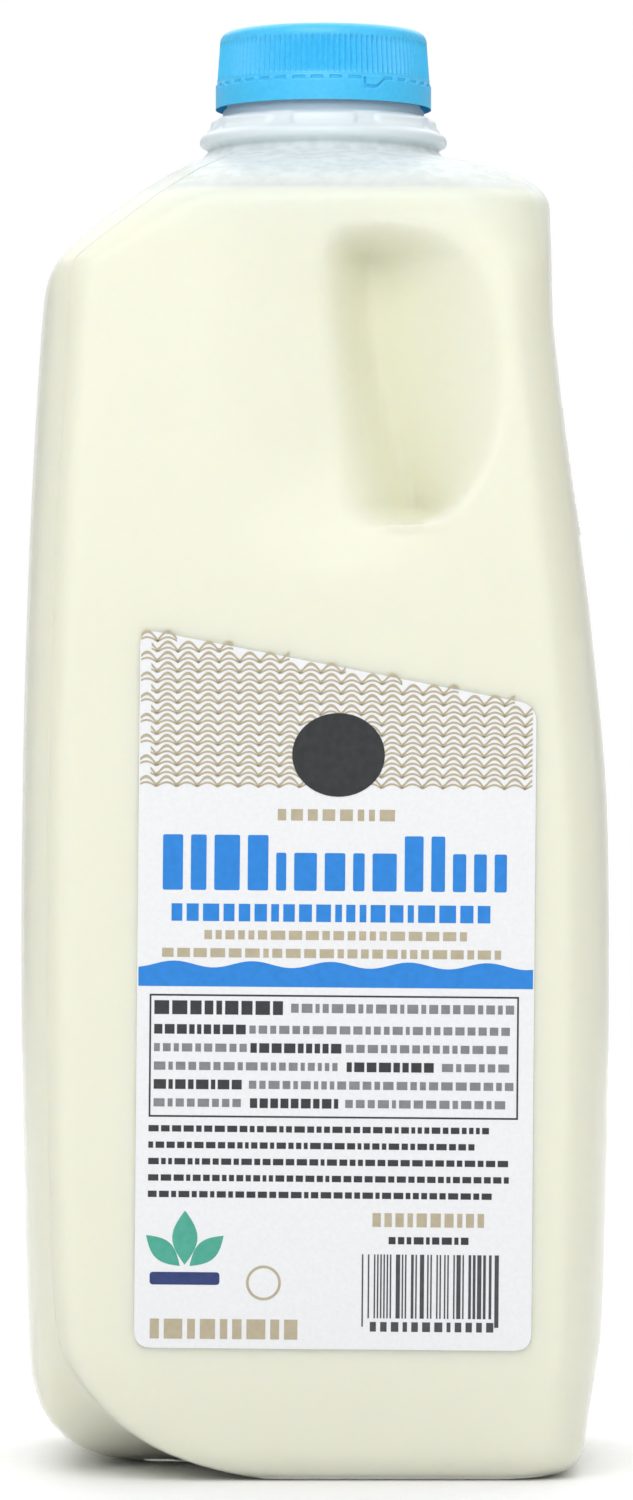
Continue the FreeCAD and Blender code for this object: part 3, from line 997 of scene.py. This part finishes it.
# %% Paper and ink materials
def paper_material():
    """Coated label paper: a cool off-white with fine fibres and a soft sheen."""
    material, tree, shader = new_material("coated_label_paper")
    place = add(tree, "ShaderNodeTexCoord").outputs["Object"]
    fibre = add(tree, "ShaderNodeTexNoise", {"Vector": place}, Scale=1500.0, Detail=4.0)
    tone = ramp(tree, fibre.outputs["Fac"], 0.3, 0.7,
                [(0.0, colour("E3E4E5")), (1.0, colour("E9E9EA"))])
    tree.links.new(tone, shader.inputs["Base Color"])
    bump = add(tree, "ShaderNodeBump", {"Height": fibre.outputs["Fac"]}, Strength=0.2, Distance=0.00003)
    tree.links.new(bump.outputs["Normal"], shader.inputs["Normal"])
    shader.inputs["Roughness"].default_value = 0.48
    return material


def ink_material(name, dark, light):
    """Offset ink: an even film whose tone wanders a little as it soaks into the paper."""
    material, tree, shader = new_material(name)
    place = add(tree, "ShaderNodeTexCoord").outputs["Object"]
    soak = add(tree, "ShaderNodeTexNoise", {"Vector": place}, Scale=700.0, Detail=3.0)
    tone = ramp(tree, soak.outputs["Fac"], 0.3, 0.7, [(0.0, colour(dark)), (1.0, colour(light))])
    tree.links.new(tone, shader.inputs["Base Color"])
    shader.inputs["Roughness"].default_value = 0.42
    return material


# %% Give each piece its material
def dress(piece, material):
    """The piece's only material."""
    piece.data.materials.clear()
    piece.data.materials.append(material)


plastic = bottle_material()
for piece in [bottle] + seams:
    dress(piece, plastic)
dress(milk, milk_material())
dress(cap, cap_material())
dress(sheet, paper_material())
dress(tan_print, ink_material("offset_ink_taupe", "AEA388", "B8AD93"))
dress(blue_print, ink_material("offset_ink_blue", "147ACB", "1A82D8"))
dress(black_print, ink_material("offset_ink_black", "26282B", "323437"))
dress(badge_print, ink_material("offset_ink_heavy_black", "1E2022", "2A2C2E"))
dress(navy_print, ink_material("offset_ink_navy", "1D2F66", "263A74"))
dress(grey_print, ink_material("offset_ink_grey", "77797B", "838587"))
dress(stripe_print, ink_material("offset_ink_charcoal", "3A3C3F", "46484B"))
dress(green_print, ink_material("offset_ink_green", "3F9C86", "49A790"))
print(len(bpy.data.materials), "materials")

# %% [markdown]
# ## Floor, light and camera
# The jug stands on a pale floor in a white room. One large soft light high in front shades the
# front gently from top to foot, and the room fills in the rest.

# %% Floor and world
def make_floor():
    """A pale matte floor, which isn't part of the object."""
    bm = bmesh.new()
    bmesh.ops.create_grid(bm, x_segments=8, y_segments=8, size=2.0)
    mesh = bpy.data.meshes.new("floor")
    bm.to_mesh(mesh)
    bm.free()
    floor = bpy.data.objects.new("floor", mesh)
    bpy.context.scene.collection.objects.link(floor)
    material, tree, shader = new_material("matte_white_studio_floor")
    place = add(tree, "ShaderNodeTexCoord").outputs["Object"]
    grain = add(tree, "ShaderNodeTexNoise", {"Vector": place}, Scale=300.0, Detail=2.0)
    tone = ramp(tree, grain.outputs["Fac"], 0.3, 0.7,
                [(0.0, colour("FAFAFA")), (1.0, colour("FDFDFD"))])
    tree.links.new(tone, shader.inputs["Base Color"])
    shader.inputs["Roughness"].default_value = 0.7
    dress(floor, material)


def make_world():
    """A white backdrop for the camera. The room itself is bright above and dimmer to the sides."""
    world = bpy.data.worlds.new("white_room")
    world.use_nodes = True
    tree = world.node_tree
    tree.nodes.clear()
    path = add(tree, "ShaderNodeLightPath")
    seen = add(tree, "ShaderNodeMath", {0: path.outputs["Is Camera Ray"],
                                        1: path.outputs["Is Transmission Ray"]}, operation="MAXIMUM")
    way = add(tree, "ShaderNodeTexCoord").outputs["Generated"]
    split = add(tree, "ShaderNodeSeparateXYZ", {"Vector": way})
    up, across = split.outputs["Z"], split.outputs["X"]
    tone = ramp(tree, up, 0.0, 1.0, [(0.0, (0.46, 0.47, 0.49, 1)), (0.45, (0.66, 0.67, 0.69, 1)),
                                     (1.0, (0.9, 0.9, 0.9, 1))])
    aside = add(tree, "ShaderNodeMath", {0: across}, operation="ABSOLUTE").outputs["Value"]
    dim = add(tree, "ShaderNodeMapRange", {"Value": aside}, From_Min=0.35, From_Max=1.0, To_Min=1.0,
              To_Max=0.62)
    room = add(tree, "ShaderNodeBackground", {"Color": tone, "Strength": dim.outputs["Result"]})
    white = add(tree, "ShaderNodeBackground", Color=(1.0, 1.0, 1.0, 1.0), Strength=1.0)
    mixed = add(tree, "ShaderNodeMixShader",
                {0: seen.outputs["Value"], 1: room.outputs[0], 2: white.outputs[0]})
    add(tree, "ShaderNodeOutputWorld", {"Surface": mixed.outputs[0]})
    bpy.context.scene.world = world


def area_light(name, place, target, size, power):
    """A square area light aimed at a point."""
    data = bpy.data.lights.new(name, "AREA")
    data.size = size
    data.energy = power
    light = bpy.data.objects.new(name, data)
    light.location = place
    light.rotation_euler = (Vector(target) - Vector(place)).to_track_quat("-Z", "Y").to_euler()
    bpy.context.scene.collection.objects.link(light)


make_floor()
make_world()
area_light("key_light", (-0.1, -0.85, 0.85), (0, 0, 0.14), size=0.8, power=5.6)
area_light("backdrop_light", (0, 1.3, 1.3), (0, 1.0, 0), size=2.2, power=20.0)
print("floor, world and two lights")

# %% Camera
SENSOR = 36
LENS = 161.9
CAMERA_PLACE = (0.0002, -1.170, 0.111)
CAMERA_TARGET = (0.0002, 0, 0.1223)


def make_camera():
    """A long lens a little over a metre away, about level with the middle of the jug."""
    data = bpy.data.cameras.new("camera")
    data.sensor_width = SENSOR
    data.lens = LENS
    camera = bpy.data.objects.new("camera", data)
    camera.location = CAMERA_PLACE
    way = Vector(CAMERA_TARGET) - Vector(CAMERA_PLACE)
    camera.rotation_euler = way.to_track_quat("-Z", "Y").to_euler()
    bpy.context.scene.collection.objects.link(camera)
    bpy.context.scene.camera = camera


make_camera()
print("camera", CAMERA_PLACE, "lens", LENS)
bpy.context.scene.view_settings.view_transform = "Standard"
